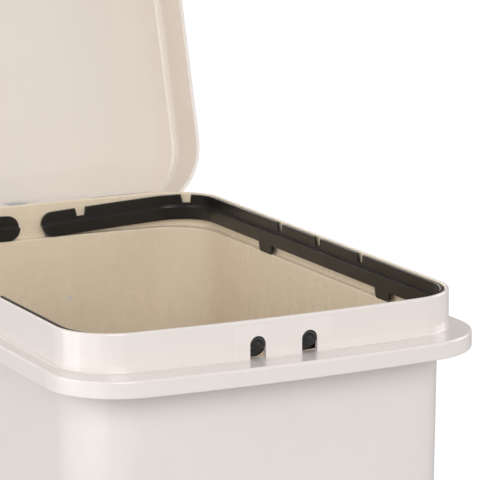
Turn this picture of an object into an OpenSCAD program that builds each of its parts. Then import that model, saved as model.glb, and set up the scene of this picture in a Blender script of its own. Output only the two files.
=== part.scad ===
// Pedal trash can: a tapered plastic body with a raised collar, a hinged lid, two swing-up bag
// frames, a pedal lever with a push rod to the lid, and two wheels for tilting and rolling.
// Millimetres. +Z is up, +X is the right side seen from the front, the pedal faces -Y and the
// lid hinge is at +Y. The origin is on the floor under the middle of the collar. Everything is
// drawn with the pedal pressed, so the lid stands open on its stops.

/* [Overall] */
// Height of the collar's top edge above the floor
rim_h = 640; // [580:5:700]
// Height of the bin's floor above the ground
floor_h = 62; // [60:1:80]

/* [Collar] */
// Width over the collar
mouth_w = 304; // [290:1:330]
// Depth over the collar
mouth_d = 460; // [440:1:480]
// Corner radius of the collar
mouth_r = 44; // [40:1:56]
// Outward bow of the front and back walls
end_bow = 4.5; // [1:0.5:5]
// Height of the collar above the ledge
collar_h = 28; // [26:0.5:32]
// Thickness of the collar wall
collar_t = 3; // [2.5:0.1:3.2]

/* [Flange] */
// Width of the ledge along each side
ledge_side = 11; // [10:0.5:14]
// Width of the ledge at the front and back
ledge_end = 22; // [21:0.5:24]
// Height of the flange's outer face
flange_h = 12.5; // [10:0.5:16]
// Thickness of the ledge plate and the flange lip
plate_t = 3; // [2.5:0.1:3.5]

/* [Body] */
// Inset of the body wall from the collar
body_inset = 5; // [4:0.5:6]
// Thickness of the body wall
wall_t = 2.8; // [2.4:0.1:3]
// Taper of each wall, in degrees
wall_taper = 0.9; // [0.6:0.1:1.1]

/* [Lid] */
// Opening angle of the lid, in degrees
lid_open = 105; // [95:1:106]
// Inner depth of the closed lid, from its lip to the underside of the panel
lid_depth = 37.5; // [36:0.5:42]
// Thickness of the lid
lid_t = 3; // [2.5:0.1:3.2]
// Rise of the panel's flat middle above its border
lid_crown = 3; // [2:0.5:6]

/* [Bag frames] */
// Distance of each frame's pegs from the middle
peg_x = 20; // [18:0.5:24]
// Depth of the pegs below the collar's top edge
peg_drop = 17.6; // [17:0.1:17.6]
// Height of the frame's band
band_h = 20.2; // [16:0.2:20.2]
// Slope of the resting frame from its pegs up to the side wall, in degrees
frame_rise = 3.2; // [2:0.1:3.4]

/* [Pedal and rod] */
// Distance of the lever's axle behind the middle
lever_y = 60; // [50:1:70]
// Radius of the lid crank
crank_r = 10; // [9:0.1:10]
// Width of the pedal
pedal_w = 112; // [90:1:130]
// Reach of the pedal in front of the body
pedal_reach = 66; // [56:1:72]

/* [Wheels] */
// Radius of the wheels over the tyre
wheel_r = 24; // [22:0.5:25]
// Width of the wheels
wheel_w = 20; // [16:1:22]

/* [Hidden] */

// Colours
cream = [0.89, 0.86, 0.84];
black = [0.11, 0.11, 0.11];
rubber = [0.16, 0.16, 0.17];
steel = [0.70, 0.71, 0.73];

eps = 0.01;
$fn = 48;

// Levels
ledge_z = rim_h - collar_h;
body_z = 10;
floor_t = 3;
under_floor_z = floor_h - floor_t;

// Half sizes of the outlines
mouth_x = mouth_w / 2;
mouth_y = mouth_d / 2;
flange_x = mouth_x + ledge_side;
flange_y = mouth_y + ledge_end;
flange_r = mouth_r + ledge_side;
body_x = mouth_x - body_inset;
body_y = mouth_y - body_inset;
body_r = mouth_r + 3;

// Hinge
hinge_y = mouth_y + 15;
hinge_z = ledge_z + 12;
hinge_r = 3;
hinge_lug_r = 7;
cap_r = 4.6;
block_x = 59.5;
lug_w = 9;
lid_x = flange_x + 1.5;
lid_y = flange_y + 1;
lid_r = flange_r + 1.5;
lid_gap = 0.8;
rear_lip = 6;
lip_z = ledge_z + lid_gap;
panel_z = lip_z + lid_depth;

// Push rod
crank_half = lid_open / 2;
rod_travel = 2 * crank_r * sin(crank_half);
rod_r = 3;
rod_y = hinge_y - 8.5;
crank_pin_r = 2;
crank_slack = 0.65;
head_x = 12;
head_slot_x = 7;
head_groove_x = 9.8;
head_y0 = hinge_y - 12.4;
head_y1 = hinge_y - 4.6;
head_pin_z = hinge_z + crank_r * sin(crank_half);
head_cross = 16;
running = 0.08;

// Pedal lever
lever_z = 30;
lever_rear = rod_y - lever_y;
lever_swing = 2 * asin(rod_travel / 2 / lever_rear);
lever_rest = lever_swing / 2;
lever_pin_z = lever_z + lever_rear * sin(lever_rest);
lever_pin_y = lever_y + lever_rear * cos(lever_rest);
lever_x = 11;
lever_t = 12;
lever_axle_r = 4;
lever_pin_r = 3;
tongue_x = 4;
foot_x = 9.5;
beam_x0 = 17;
beam_x1 = 24;
front_wall_y = body_y - (ledge_z - 40) * tan(wall_taper);
pedal_y0 = -front_wall_y - 12;
pedal_y1 = -front_wall_y - pedal_reach - 8;

// Bag frames
band_t = 2;
band_step = 3;
band_gap = 0.9;
rib_h = 1.6;
peg_z = rim_h - peg_drop;
peg_r = 5.92;
keyhole_r = 6;
frame_x = mouth_x - collar_t - band_gap;
frame_y = mouth_y - collar_t - band_gap;
frame_r = mouth_r - collar_t - band_gap;
notch_w = 7;
notch_h = 6.9;
notch_flare = 1.5;
tab_w = 20;
tab_flare = 1;
tab_drop = 7.2;
tab_places = [85, -108];
side_notches = [63, -1, -70];
end_notch_x = 45;

// Rear cover
cover_x = 26;
cover_flange_x = 38;
cover_t = 2.5;
cover_y = hinge_y + 3;
cover_z0 = 12;
cover_z1 = ledge_z - plate_t - 0.3;
guide_levels = [150, 540];

// Wheels
wheel_y = body_y - (ledge_z - 20) * tan(wall_taper) - 17;
wheel_z = wheel_r + 2;
wheel_x = 111;
axle_r = 4;
tyre_t = 4;

wheel_room = 3;
axle_boss_x0 = wheel_x - wheel_w / 2 - 12;
axle_boss_x1 = wheel_x - wheel_w / 2 - 2;

// Base plinth
base_lean = (ledge_z - body_z) * tan(wall_taper);
base_half_x = body_x - base_lean;
base_half_y = body_y - base_lean;
upstand_h = 30;
web_z = 2;
beam_h = 24;
rail_h = 28;
rail_t = 6;
rail_front_y = -140;
rail_rear_y = 150;
bearing = 9;
bearing_y = 12;
lever_gap_x = [20, 16];
lever_gap_h = [52, 54];

// Fasteners
screw_r = 2;
screw_head_r = 4;
screw_tab_z = 36;
screw_seat_z = 30;
rod_end_x = block_x + lug_w + 4;
shoe_t = 18;
pedal_screw_places = [pedal_y0 - 14, pedal_y0 - 40];
base_screw_places = [
    [-100, rail_front_y], [100, rail_front_y],
    [-60, rail_rear_y], [60, rail_rear_y]
];
foot_places = [[-112, -184], [112, -184], [-72, 194], [72, 194]];
foot_r = 9;
cover_rivet_levels = [95, 330, 560];
cover_rivet_x = 32;
hinge_screw_x = 36;
hinge_screw_y = hinge_y - 4;
crank_screw_x = 11;
crank_screw_y = hinge_y - 10;
crank_leaf_x = 17;

// Outline of a rounded rectangle with half sizes hx and hy, whose front and back bow outwards.
function plan_quarter(hx, hy, r, bow) =
    let (
        lean = atan(2 * bow / (hx - r)),
        cx = hx - r,
        cy = hy - bow - r * cos(lean),
        x0 = cx + r * sin(lean),
        steps = 12,
        side_steps = 4
    )
    concat(
        [for (i = [0 : steps]) let (a = i * (90 - lean) / steps) [cx + r * cos(a), cy + r * sin(a)]],
        [for (i = [1 : side_steps]) let (x = x0 * (1 - i / side_steps)) [x, hy - bow * pow(x / x0, 2)]]
    );

function plan(hx, hy, r, bow = end_bow) =
    let (q = plan_quarter(hx, hy, r, bow), n = len(q))
    concat(
        q,
        [for (i = [n - 2 : -1 : 0]) [-q[i].x, q[i].y]],
        [for (i = [0 : n - 1]) [-q[i].x, -q[i].y]],
        [for (i = [n - 2 : -1 : 0]) [q[i].x, -q[i].y]]
    );

// Straight prism of an outline between two levels.
module plan_prism(hx, hy, r, z0, z1) {
    translate([0, 0, z0])
        linear_extrude(z1 - z0)
            polygon(plan(hx, hy, r));
}

// The body's tapered volume between two levels, grown outwards by grow.
module body_volume(z0, z1, grow = 0) {
    hull() {
        for (z = [z0, z1 - eps]) {
            lean = (ledge_z - z) * tan(wall_taper);
            plan_prism(body_x + grow - lean, body_y + grow - lean, body_r + grow - lean / 3, z, z + eps);
        }
    }
}

// Outer face of the body's rear wall at a level, at the rivets
function wall_y(z) =
    let (lean = (ledge_z - z) * tan(wall_taper))
    body_y - lean - end_bow * pow(cover_rivet_x / (body_x - body_r), 2);

module x_cylinder(r, x0, x1, y, z) {
    translate([x0, y, z])
        rotate([0, 90, 0])
            cylinder(r = r, h = x1 - x0);
}

module y_cylinder(r, x, y0, y1, z) {
    translate([x, y0, z])
        rotate([-90, 0, 0])
            cylinder(r = r, h = y1 - y0);
}

module box(x0, x1, y0, y1, z0, z1) {
    translate([x0, y0, z0])
        cube([x1 - x0, y1 - y0, z1 - z0]);
}

module both_sides() {
    children();
    mirror([1, 0, 0]) children();
}

// A pan-head screw along +Z with its head's underside at the origin.
module screw(shank_r, shank_l, head_r) {
    head_h = head_r * 0.6;
    difference() {
        union() {
            translate([0, 0, -shank_l]) cylinder(r = shank_r, h = shank_l + eps);
            cylinder(r = head_r, h = head_h);
        }
        for (turn = [0, 90])
            rotate(turn)
                translate([-head_r * 0.6, -head_r * 0.13, head_h * 0.45])
                    cube([head_r * 1.2, head_r * 0.26, head_h]);
    }
}

// Moves a piece drawn on the closed lid to the open pose.
module on_lid() {
    translate([0, hinge_y, hinge_z])
        rotate([-lid_open, 0, 0])
            translate([0, -hinge_y, -hinge_z])
                children();
}

// Moves a piece drawn on the level lever to the pressed pose.
module on_lever() {
    translate([0, lever_y, lever_z])
        rotate([lever_rest, 0, 0])
            translate([0, -lever_y, -lever_z])
                children();
}

// ---------------------------------------------------------------- body

module keyholes() {
    for (x = [-peg_x, peg_x]) {
        y_cylinder(keyhole_r, x, -mouth_y - 10, mouth_y + 10, peg_z);
        box(x - keyhole_r, x + keyhole_r, -mouth_y - 10, mouth_y + 10, ledge_z, peg_z);
    }
}

module rod_slot() {
    box(-head_x - 0.8, head_x + 0.8, head_y0 - 0.6, head_y1 + 0.8, ledge_z - plate_t - 1, ledge_z + 1);
}

module wall_openings() {
    // Pedal lever, front and back
    box(-lever_gap_x[0], lever_gap_x[0], -mouth_y, -mouth_y / 2, body_z - 1, lever_gap_h[0]);
    box(-lever_gap_x[1], lever_gap_x[1], mouth_y / 2, mouth_y, body_z - 1, lever_gap_h[1]);
    // Wheel arches
    both_sides()
        box(wheel_x - wheel_w / 2 - wheel_room, wheel_x + wheel_w / 2 + wheel_room,
            mouth_y / 2, mouth_y, body_z - 1, wheel_z + wheel_r + wheel_room);
}

module body_shell() {
    color(cream)
    difference() {
        union() {
            difference() {
                union() {
                    body_volume(body_z, ledge_z - eps);
                    plan_prism(flange_x, flange_y, flange_r, ledge_z - plate_t, ledge_z);
                    plan_prism(mouth_x, mouth_y, mouth_r, ledge_z - eps, rim_h);
                    difference() {
                        plan_prism(flange_x, flange_y, flange_r, ledge_z - flange_h, ledge_z - eps);
                        plan_prism(flange_x - plate_t, flange_y - plate_t, flange_r - plate_t,
                            ledge_z - flange_h - 1, ledge_z - plate_t);
                    }
                }
                body_volume(floor_h, ledge_z + 1, -wall_t);
                body_volume(body_z - 1, under_floor_z, -wall_t);
                plan_prism(mouth_x - collar_t, mouth_y - collar_t, mouth_r - collar_t,
                    ledge_z, rim_h + 1);
                keyholes();
                rod_slot();
                wall_openings();
            }
            for (p = base_screw_places)
                translate([p.x, p.y, screw_tab_z])
                    cylinder(r = 7, h = under_floor_z - screw_tab_z + eps);
        }
        for (p = base_screw_places)
            translate([p.x, p.y, screw_tab_z - 1])
                cylinder(r = screw_r + 0.05, h = 17);
        both_sides()
            for (z = cover_rivet_levels)
                y_cylinder(screw_r + 0.05, cover_rivet_x, mouth_y / 2, mouth_y, z);
        both_sides()
            translate([hinge_screw_x, hinge_screw_y, ledge_z - plate_t - 1])
                cylinder(r = screw_r + 0.05, h = plate_t + 2);
    }
}

// ---------------------------------------------------------------- base

module base_ring(grow_out, grow_in, z0, z1) {
    outer_r = body_r + grow_out - base_lean / 3;
    inner_r = body_r + grow_in - base_lean / 3;
    difference() {
        plan_prism(base_half_x + grow_out, base_half_y + grow_out, outer_r, z0, z1);
        plan_prism(base_half_x + grow_in, base_half_y + grow_in, inner_r, z0 - 1, z1 + 1);
    }
}

module base_plinth() {
    beam_y = base_half_y - 6;
    foot_proud = 0.5;
    foot_depth = 7;
    upstand_gap = 0.4;
    upstand_t = 3;
    color(black)
    difference() {
        union() {
            difference() {
                union() {
                    base_ring(foot_proud, -foot_depth, 0, body_z - upstand_gap);
                    base_ring(-wall_t - upstand_gap, -wall_t - upstand_gap - upstand_t, 0, upstand_h);
                    // Beams beside the lever, cross rails out to the ring, and the wheels' bearings
                    both_sides() {
                        box(beam_x0, beam_x1, -beam_y, beam_y, web_z, beam_h);
                        box(beam_x0, beam_x1, lever_y - bearing_y, lever_y + bearing_y,
                            web_z, lever_z + bearing);
                        for (y = [rail_front_y, rail_rear_y])
                            box(beam_x1 - eps, base_half_x - 5, y - rail_t / 2, y + rail_t / 2,
                                web_z, rail_h);
                        box(axle_boss_x0, axle_boss_x1, rail_rear_y, beam_y - end_bow + 1,
                            web_z, beam_h);
                        box(axle_boss_x0, axle_boss_x1, wheel_y - bearing, wheel_y + bearing,
                            web_z, wheel_z + bearing);
                    }
                    for (p = base_screw_places)
                        translate([p.x, p.y, web_z])
                            cylinder(r = 8, h = screw_tab_z - web_z - 0.2);
                    for (p = foot_places)
                        translate([p.x, p.y, 0])
                            cylinder(r = foot_r + 4, h = 6);
                }
                // Lane of the lever and room for the wheels
                box(-beam_x0, beam_x0, -mouth_y, mouth_y, body_z - upstand_gap, 60);
                both_sides()
                    box(axle_boss_x1, wheel_x + wheel_w / 2 + wheel_room,
                        wheel_y - wheel_r - wheel_room, mouth_y, -1, 60);
            }
        }
        for (p = base_screw_places) {
            translate([p.x, p.y, 0])
                cylinder(r = screw_r + 0.2, h = 60);
            translate([p.x, p.y, 0])
                cylinder(r = screw_head_r + 0.5, h = screw_seat_z);
        }
        for (p = foot_places)
            translate([p.x, p.y, -1])
                cylinder(r = foot_r + 0.05, h = 4);
        x_cylinder(lever_axle_r + 0.03, -beam_x1 - 1, beam_x1 + 1, lever_y, lever_z);
        both_sides()
            x_cylinder(axle_r + 0.03, axle_boss_x0 - 1, axle_boss_x1 + 1, wheel_y, wheel_z);
    }
}

module base_feet() {
    color(rubber)
    for (p = foot_places)
        translate([p.x, p.y, 0])
            cylinder(r = foot_r, h = 2.95);
}

module base_screws() {
    color(steel)
    for (p = base_screw_places)
        translate([p.x, p.y, screw_seat_z])
            rotate([180, 0, 0])
                screw(screw_r, 18, screw_head_r);
}

// ---------------------------------------------------------------- rear cover and rod guides

module rear_cover() {
    color(cream)
    difference() {
        union() {
            box(-cover_x, cover_x, mouth_y / 2, cover_y, cover_z0, cover_z1);
            intersection() {
                box(-cover_flange_x, cover_flange_x, mouth_y / 2, mouth_y + 10, cover_z0, cover_z1);
                body_volume(cover_z0, cover_z1, cover_t + 0.15);
            }
        }
        body_volume(cover_z0 - 1, cover_z1 + 1, 0.15);
        box(-cover_x + cover_t, cover_x - cover_t, mouth_y / 2, cover_y - cover_t, cover_z0 - 1, cover_z1 + 1);
        both_sides()
            for (z = cover_rivet_levels)
                y_cylinder(screw_r + 0.05, cover_rivet_x, mouth_y / 2, mouth_y + 10, z);
    }
}

// The rivets' heads lie on the cover's flange; their tails end in the body wall.
module rear_cover_screws() {
    color(cream)
    both_sides()
        for (z = cover_rivet_levels)
            translate([cover_rivet_x, wall_y(z) + cover_t + 0.25, z])
                rotate([-90, 0, 0])
                    screw(screw_r, wall_t + cover_t, screw_head_r);
}

module rod_guides() {
    color(black)
    for (z = guide_levels)
        difference() {
            box(-cover_x + cover_t + 0.2, cover_x - cover_t - 0.2, mouth_y / 2,
                cover_y - cover_t - 0.2, z - 6, z + 6);
            body_volume(z - 7, z + 7, 0.2);
            translate([0, rod_y, z - 7])
                cylinder(r = rod_r + running, h = 14);
        }
}

// ---------------------------------------------------------------- lid hinge

module hinge_block() {
    block_y0 = mouth_y + 0.4;
    block_y1 = flange_y - 3.5;
    block_z1 = rim_h - 1;
    side_x0 = 15;
    color(cream)
    difference() {
        union() {
            box(-block_x, block_x, block_y0, head_y0 - 0.4, ledge_z, block_z1);
            both_sides()
                box(side_x0, block_x, block_y0, block_y1, ledge_z, block_z1);
        }
        // Window for the crank and the rod's head
        box(-head_x - 0.8, head_x + 0.8, block_y0 - 1, head_y0, ledge_z - 1, hinge_z + 10);
        x_cylinder(hinge_r + 0.02, -block_x - 1, block_x + 1, hinge_y, hinge_z);
        both_sides()
            translate([hinge_screw_x, hinge_screw_y, ledge_z - 1])
                cylinder(r = screw_r + 0.05, h = 8);
    }
}

module hinge_block_screws() {
    color(steel)
    both_sides()
        translate([hinge_screw_x, hinge_screw_y, ledge_z - plate_t])
            rotate([180, 0, 0])
                screw(screw_r, 9, screw_head_r);
}

module hinge_rod() {
    color(steel)
    x_cylinder(hinge_r, -rod_end_x, rod_end_x, hinge_y, hinge_z);
}

module hinge_rod_caps() {
    color(black)
    both_sides()
        difference() {
            x_cylinder(cap_r, rod_end_x - 2, rod_end_x + 1.5, hinge_y, hinge_z);
            x_cylinder(hinge_r + 0.02, rod_end_x - 3, rod_end_x, hinge_y, hinge_z);
        }
}

// Rubber strips on the ledge's rear edge that the open lid's rear skirt leans on
stop_x0 = 79;
stop_x1 = 90;

// How far an outline's bowed end falls back at a distance x from the middle
function bow_at(x) = end_bow * pow(x / (flange_x - flange_r), 2);

// Height of the strips' tops, just under the circle that the rear lip's lower corner swings on
function stop_z(y) =
    let (reach = lid_y - bow_at(stop_x0) - hinge_y)
    hinge_z - sqrt(pow(reach, 2) + pow(rear_lip, 2) - pow(y - hinge_y, 2)) - 0.15;

module lid_stops() {
    stop_y1 = flange_y - bow_at(stop_x1) - 0.2;
    stop_y0 = stop_y1 - 1.8;
    color(rubber)
    both_sides()
        translate([stop_x0, 0, 0])
            rotate([90, 0, 90])
                linear_extrude(stop_x1 - stop_x0)
                    polygon([
                        [stop_y0, ledge_z],
                        [stop_y1, ledge_z],
                        [stop_y1, stop_z(stop_y1)],
                        [stop_y0, stop_z(stop_y0)]
                    ]);
}

// ---------------------------------------------------------------- lid

module lid_slice(inset, z) {
    plan_prism(lid_x - inset, lid_y - inset, max(lid_r - inset, 12), z, z + eps);
}

// Convex volume of the lid: a skirt with a little draft, a rounded edge and a raised middle.
module lid_volume(skin, z0, edge_r, top) {
    draft = 1.2;
    hull() {
        lid_slice(skin, z0);
        for (a = [0, 30, 60, 90])
            lid_slice(skin + draft + edge_r * (1 - cos(a)), top - edge_r + edge_r * sin(a) - eps);
        lid_slice(skin + 42, top + lid_crown);
    }
}

module lid_lug() {
    lug_x0 = block_x + 1;
    box(lug_x0, lug_x0 + lug_w, hinge_y - 5, lid_y - lid_t + 0.5, hinge_z, panel_z + 0.5);
    x_cylinder(hinge_lug_r, lug_x0, lug_x0 + lug_w, hinge_y, hinge_z);
}

module lid_shell() {
    color(cream)
    on_lid()
    difference() {
        union() {
            difference() {
                lid_volume(0, lip_z, 9, panel_z + lid_t);
                lid_volume(lid_t, lip_z - 1, 6, panel_z);
                // Gap in the rear skirt around the hinge block
                box(-block_x - 1, block_x + 1, hinge_y - 20, lid_y + 1, lip_z - 1, panel_z);
                // Raised rear lip, which swings past the ledge
                box(-lid_x - 1, lid_x + 1, hinge_y - 6, lid_y + 1, lip_z - 1, hinge_z - rear_lip);
            }
            both_sides() lid_lug();
        }
        both_sides() {
            x_cylinder(hinge_r + running, block_x, block_x + 2 + lug_w, hinge_y, hinge_z);
            x_cylinder(cap_r + 0.4, block_x + 1 + lug_w, rod_end_x + 2.5, hinge_y, hinge_z);
        }
        both_sides()
            translate([crank_screw_x, crank_screw_y, panel_z - 1])
                cylinder(r = screw_r + 0.05, h = 3.4);
    }
}

// Rubber pads inside the front of the skirt that meet the ledge
module lid_buffers() {
    buffer_x0 = 58;
    buffer_x1 = 84;
    buffer_y = -lid_y + lid_t + bow_at(buffer_x1) + 0.5;
    color(rubber)
    on_lid()
    both_sides()
        box(buffer_x0, buffer_x1, buffer_y, buffer_y + 3.6, ledge_z + 0.05, ledge_z + 9);
}

// Side outline of the crank about the hinge axis: hub, arm to the pin, and the leaf up to the panel
module crank_outline() {
    arm_h = 6;
    difference() {
        union() {
            circle(6.5);
            rotate(180 + crank_half) {
                translate([0, -arm_h / 2]) square([crank_r, arm_h]);
                translate([crank_r, 0]) circle(3.8);
            }
            translate([-5, 0]) square([9, panel_z - 1.5 - hinge_z]);
        }
        circle(hinge_r + running);
        rotate(180 + crank_half)
            translate([crank_r, 0])
                circle(crank_pin_r + 0.02);
    }
}

module lid_crank() {
    color(steel)
    on_lid()
    difference() {
        union() {
            translate([-3, hinge_y, hinge_z])
                rotate([90, 0, 90])
                    linear_extrude(6)
                        crank_outline();
            // Leaf screwed under the panel, low enough to hide behind the hinge block
            box(-crank_leaf_x, crank_leaf_x, hinge_y - 16, hinge_y - 4, panel_z - 3, panel_z - 0.1);
        }
        both_sides()
            translate([crank_screw_x, crank_screw_y, panel_z - 4])
                cylinder(r = screw_r + 0.05, h = 5);
    }
}

module lid_crank_screws() {
    color(steel)
    on_lid()
    both_sides()
        translate([crank_screw_x, crank_screw_y, panel_z - 3])
            rotate([180, 0, 0])
                screw(screw_r, 5.2, 3.2);
}

module crank_pin() {
    color(steel)
    on_lid()
    x_cylinder(crank_pin_r, -head_groove_x + 0.4, head_groove_x - 0.4,
        hinge_y - crank_r * cos(crank_half), hinge_z - crank_r * sin(crank_half));
}

// ---------------------------------------------------------------- bag frames

module frame_strip(inset, t, z0, z1) {
    difference() {
        plan_prism(frame_x - inset, frame_y - inset, frame_r - inset, z0, z1);
        plan_prism(frame_x - inset - t, frame_y - inset - t, frame_r - inset - t, z0 - 1, z1 + 1);
    }
}

// Notch across the band, flared towards its open top
module band_notch() {
    top = peg_z + band_h / 2;
    translate([-14, 0, 0])
        rotate([90, 0, 90])
            linear_extrude(28)
                polygon([
                    [-notch_w / 2, top - notch_h],
                    [notch_w / 2, top - notch_h],
                    [notch_w / 2 + notch_flare, top + 1],
                    [-notch_w / 2 - notch_flare, top + 1]
                ]);
}

// Tab hanging from the lower strip, a little wider at its root
module band_tab() {
    low = peg_z - band_h / 2;
    translate([frame_x - band_step - band_t, 0, 0])
        rotate([90, 0, 90])
            linear_extrude(band_t)
                polygon([
                    [-tab_w / 2, low - tab_drop],
                    [tab_w / 2, low - tab_drop],
                    [tab_w / 2 + tab_flare, low + 1],
                    [-tab_w / 2 - tab_flare, low + 1]
                ]);
}

module bag_frame() {
    low = peg_z - band_h / 2;
    high = peg_z + band_h / 2;
    corner = frame_r * (1 - cos(45));
    translate([peg_x, 0, peg_z])
    rotate([0, -frame_rise, 0])
    translate([-peg_x, 0, -peg_z])
    difference() {
        union() {
            intersection() {
                union() {
                    frame_strip(0, band_t, peg_z, high);
                    frame_strip(band_step, band_t, low, peg_z);
                    frame_strip(0, band_step + band_t, peg_z - rib_h / 2, peg_z + rib_h / 2);
                }
                union() {
                    box(peg_x, mouth_x, -mouth_y, mouth_y, low - 1, high + 1);
                    y_cylinder(band_h / 2, peg_x, -mouth_y, mouth_y, peg_z);
                }
            }
            for (side = [-1, 1])
                y_cylinder(peg_r, peg_x, side > 0 ? frame_y - band_step - 1 : -mouth_y - 0.3,
                    side > 0 ? mouth_y + 0.3 : 1 - frame_y + band_step, peg_z);
            for (y = tab_places)
                translate([0, y, 0]) band_tab();
        }
        for (y = side_notches)
            translate([frame_x, y, 0]) band_notch();
        for (side = [-1, 1]) {
            translate([end_notch_x, side * frame_y, 0]) rotate(90) band_notch();
            translate([frame_x - corner, side * (frame_y - corner - end_bow / 2), 0])
                rotate(side * 45) band_notch();
        }
    }
}

module bag_frame_left() {
    color(black) mirror([1, 0, 0]) bag_frame();
}

module bag_frame_right() {
    color(black) bag_frame();
}

// ---------------------------------------------------------------- pedal

module lever_axle() {
    color(steel)
    x_cylinder(lever_axle_r, -beam_x1 - 4, beam_x1 + 4, lever_y, lever_z);
}

module lever_axle_clips() {
    color(steel)
    both_sides()
        difference() {
            x_cylinder(7, beam_x1 + 0.3, beam_x1 + 1.8, lever_y, lever_z);
            x_cylinder(lever_axle_r + 0.02, beam_x1, beam_x1 + 3, lever_y, lever_z);
        }
}

module pedal_lever() {
    rear_end = lever_y + lever_rear;
    color(steel)
    on_lever()
    difference() {
        union() {
            box(-lever_x, lever_x, pedal_y1 + 6, rear_end - 14, lever_z - lever_t / 2, lever_z + lever_t / 2);
            box(-tongue_x, tongue_x, rear_end - 15, rear_end, lever_z - lever_t / 2, lever_z + lever_t / 2);
            x_cylinder(lever_t / 2, -tongue_x, tongue_x, rear_end, lever_z);
            x_cylinder(9, -14, 14, lever_y, lever_z);
        }
        x_cylinder(lever_axle_r + running, -15, 15, lever_y, lever_z);
        x_cylinder(lever_pin_r + 0.02, -5, 5, rear_end, lever_z);
        for (y = pedal_screw_places)
            translate([0, y, lever_z - lever_t / 2 - 1])
                cylinder(r = screw_r + 0.05, h = 9);
    }
}

module rounded_box(x, y0, y1, r, z0, z1) {
    translate([0, 0, z0])
        linear_extrude(z1 - z0) {
            translate([-x, y0 + r]) square([2 * x, y1 - y0 - 2 * r]);
            translate([-x + r, y0]) square([2 * x - 2 * r, y1 - y0]);
            for (px = [-x + r, x - r])
                for (py = [y0 + r, y1 - r])
                    translate([px, py]) circle(r);
        }
}

module pedal_shoe() {
    color(black)
    on_lever()
    difference() {
        rounded_box(pedal_w / 2, pedal_y1, pedal_y0, 12, lever_z - shoe_t / 2, lever_z + shoe_t / 2);
        box(-lever_x - 0.1, lever_x + 0.1, pedal_y1 + 5.9, pedal_y0 + 1,
            lever_z - lever_t / 2 - 0.1, lever_z + lever_t / 2 + 0.1);
        for (y = pedal_screw_places) {
            translate([0, y, lever_z - shoe_t / 2 - 1])
                cylinder(r = screw_r + 0.2, h = 6);
            translate([0, y, lever_z - shoe_t / 2 - 1])
                cylinder(r = screw_head_r + 0.3, h = 2);
        }
    }
}

module pedal_tread() {
    top = lever_z + shoe_t / 2;
    half = pedal_w / 2 - 5;
    rib_step = (pedal_y0 - pedal_y1 - 16) / 8;
    color(rubber)
    on_lever() {
        rounded_box(half, pedal_y1 + 5, pedal_y0 - 5, 8, top + 0.02, top + 1.5);
        for (i = [0 : 8])
            box(-half + 8, half - 8, pedal_y1 + 7 + i * rib_step, pedal_y1 + 9 + i * rib_step,
                top + 1.4, top + 2.8);
    }
}

module pedal_screws() {
    color(steel)
    on_lever()
    for (y = pedal_screw_places)
        translate([0, y, lever_z - shoe_t / 2 + 1])
            rotate([180, 0, 0])
                screw(screw_r, 9.5, screw_head_r);
}

module lever_pin() {
    color(steel)
    x_cylinder(lever_pin_r, -foot_x + 0.5, foot_x - 0.5, lever_pin_y, lever_pin_z);
}

// ---------------------------------------------------------------- push rod

module push_rod() {
    color(steel)
    translate([0, rod_y, lever_pin_z + 11])
        cylinder(r = rod_r, h = head_pin_z - head_cross - 1 - lever_pin_z - 11);
}

module rod_head() {
    color(black)
    difference() {
        box(-head_x, head_x, head_y0, head_y1, head_pin_z - head_cross - 6, head_pin_z + 5.5);
        box(-head_slot_x, head_slot_x, head_y0 - 1, head_y1 + 1, head_pin_z - head_cross, head_pin_z + 6);
        box(-head_groove_x, head_groove_x, head_y0 - 1, head_y1 + 1,
            head_pin_z - crank_pin_r - crank_slack, head_pin_z + crank_pin_r + crank_slack);
        translate([0, rod_y, head_pin_z - head_cross - 7])
            cylinder(r = rod_r + 0.02, h = 6);
    }
}

module rod_foot() {
    slot = 1.2;
    color(black)
    difference() {
        box(-foot_x, foot_x, rod_y - 6, rod_y + 6, lever_pin_z - 7, lever_pin_z + 18);
        box(-tongue_x - 0.6, tongue_x + 0.6, rod_y - 7, rod_y + 7, lever_pin_z - 8, lever_pin_z + 9);
        for (y = [rod_y - slot, rod_y + slot])
            x_cylinder(lever_pin_r + running, -foot_x - 1, foot_x + 1, y, lever_pin_z);
        box(-foot_x - 1, foot_x + 1, rod_y - slot, rod_y + slot,
            lever_pin_z - lever_pin_r - running, lever_pin_z + lever_pin_r + running);
        translate([0, rod_y, lever_pin_z + 11])
            cylinder(r = rod_r + 0.02, h = 8);
    }
}

// ---------------------------------------------------------------- wheels

module wheel_axles() {
    color(steel)
    both_sides()
        x_cylinder(axle_r, axle_boss_x0, wheel_x + wheel_w / 2 + 2.5, wheel_y, wheel_z);
}

module wheel_caps() {
    cap_x = wheel_x + wheel_w / 2 + 0.5;
    color(black)
    both_sides()
        difference() {
            x_cylinder(6.5, cap_x, cap_x + 2.4, wheel_y, wheel_z);
            x_cylinder(axle_r + 0.02, cap_x - 1, cap_x + 2, wheel_y, wheel_z);
        }
}

module wheel() {
    translate([wheel_x, wheel_y, wheel_z])
    rotate([0, 90, 0])
    difference() {
        cylinder(r = wheel_r - tyre_t - 0.05, h = wheel_w - 2, center = true);
        cylinder(r = axle_r + running, h = wheel_w + 2, center = true);
        for (side = [-1, 1])
            translate([0, 0, side * wheel_w / 2])
                difference() {
                    cylinder(r = wheel_r - tyre_t - 4, h = 8, center = true);
                    cylinder(r = 8, h = 10, center = true);
                }
    }
}

module tyre() {
    translate([wheel_x, wheel_y, wheel_z])
    rotate([0, 90, 0])
    rotate_extrude()
        difference() {
            translate([wheel_r - tyre_t, -wheel_w / 2])
                square([tyre_t, wheel_w]);
            for (side = [-1, 1])
                translate([wheel_r, side * wheel_w / 2])
                    rotate(45)
                        square(3, center = true);
        }
}

module wheel_left() {
    color(black) mirror([1, 0, 0]) wheel();
}

module wheel_right() {
    color(black) wheel();
}

module tyre_left() {
    color(rubber) mirror([1, 0, 0]) tyre();
}

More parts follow.
